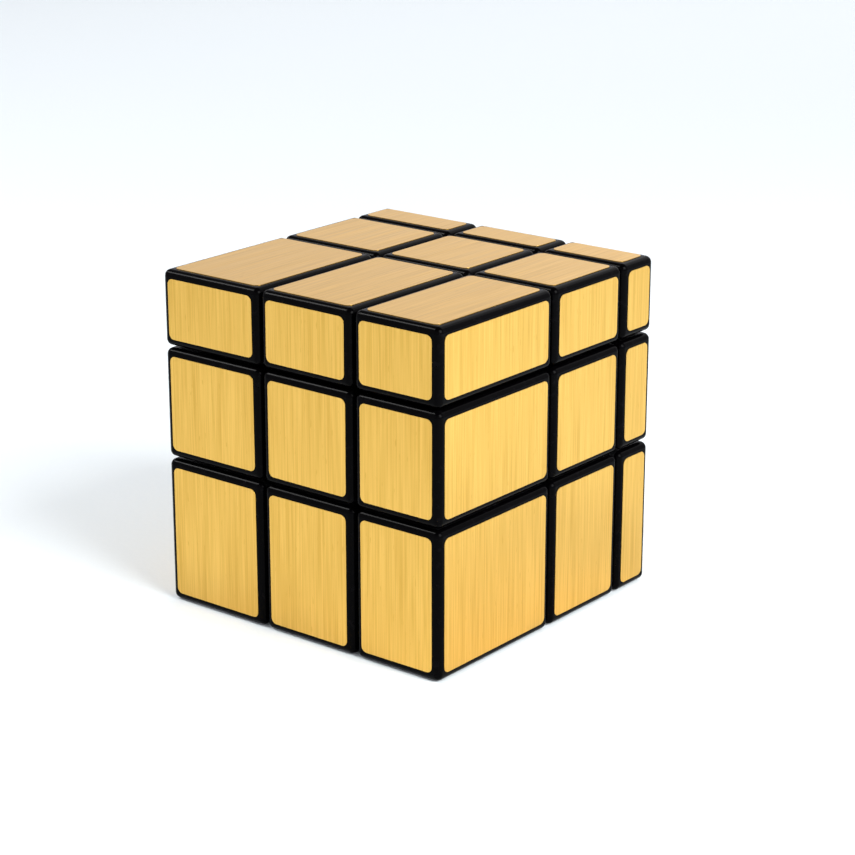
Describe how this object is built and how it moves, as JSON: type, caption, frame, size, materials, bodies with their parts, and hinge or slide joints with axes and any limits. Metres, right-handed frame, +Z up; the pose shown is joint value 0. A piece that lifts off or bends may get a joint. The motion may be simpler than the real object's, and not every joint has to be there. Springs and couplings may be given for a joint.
{
  "type": "mirror block cube",
  "caption": "Cube-shaped twisty puzzle in glossy black plastic with brushed gold foils, whose layers have different thicknesses so that it changes shape as it is turned.",
  "frame": {"origin": "centre of the bottom face", "axes": "+X to the right, towards the 17 mm layer; +Y to the back, towards the 9 mm layer; +Z up, towards the 13 mm layer"},
  "size_m": [0.057, 0.057, 0.057],
  "materials": {
    "block_plastic": "gloss black",
    "inner_plastic": "satin black",
    "core_plastic": "satin white",
    "plated_steel": "zinc plated",
    "spring_steel": "drawn wire",
    "gold_foil": "brushed gold"
  },
  "bodies": {
    "middle": {"core": "core_plastic", "centre_screws": "plated_steel", "centre_washers": "plated_steel", "centre_springs": "spring_steel", "edge_front_left_shell": "block_plastic", "edge_front_left_foot": "inner_plastic", "centre_front_cap": "block_plastic", "centre_front_base": "inner_plastic", "edge_front_right_shell": "block_plastic", "edge_front_right_foot": "inner_plastic", "centre_left_cap": "block_plastic", "centre_left_base": "inner_plastic", "centre_right_cap": "block_plastic", "centre_right_base": "inner_plastic", "edge_back_left_shell": "block_plastic", "edge_back_left_foot": "inner_plastic", "centre_back_cap": "block_plastic", "centre_back_base": "inner_plastic", "edge_back_right_shell": "block_plastic", "edge_back_right_foot": "inner_plastic", "middle_layer_foils": "gold_foil"},
    "top_layer": {"corner_top_front_left_shell": "block_plastic", "corner_top_front_left_foot": "inner_plastic", "edge_top_front_shell": "block_plastic", "edge_top_front_foot": "inner_plastic", "corner_top_front_right_shell": "block_plastic", "corner_top_front_right_foot": "inner_plastic", "edge_top_left_shell": "block_plastic", "edge_top_left_foot": "inner_plastic", "centre_top_cap": "block_plastic", "centre_top_base": "inner_plastic", "edge_top_right_shell": "block_plastic", "edge_top_right_foot": "inner_plastic", "corner_top_back_left_shell": "block_plastic", "corner_top_back_left_foot": "inner_plastic", "edge_top_back_shell": "block_plastic", "edge_top_back_foot": "inner_plastic", "corner_top_back_right_shell": "block_plastic", "corner_top_back_right_foot": "inner_plastic", "top_layer_foils": "gold_foil"},
    "bottom_layer": {"corner_bottom_front_left_shell": "block_plastic", "corner_bottom_front_left_foot": "inner_plastic", "edge_bottom_front_shell": "block_plastic", "edge_bottom_front_foot": "inner_plastic", "corner_bottom_front_right_shell": "block_plastic", "corner_bottom_front_right_foot": "inner_plastic", "edge_bottom_left_shell": "block_plastic", "edge_bottom_left_foot": "inner_plastic", "centre_bottom_cap": "block_plastic", "centre_bottom_base": "inner_plastic", "edge_bottom_right_shell": "block_plastic", "edge_bottom_right_foot": "inner_plastic", "corner_bottom_back_left_shell": "block_plastic", "corner_bottom_back_left_foot": "inner_plastic", "edge_bottom_back_shell": "block_plastic", "edge_bottom_back_foot": "inner_plastic", "corner_bottom_back_right_shell": "block_plastic", "corner_bottom_back_right_foot": "inner_plastic", "bottom_layer_foils": "gold_foil"}
  },
  "joints": [
    {"name": "top_turn", "type": "hinge", "parent": "middle", "child": "top_layer", "pos_m": [0.002, 0.01, 0.0345], "axis": [0, 0, 1], "continuous": true},
    {"name": "bottom_turn", "type": "hinge", "parent": "middle", "child": "bottom_layer", "pos_m": [0.002, 0.01, 0.0345], "axis": [0, 0, 1], "continuous": true}
  ]
}
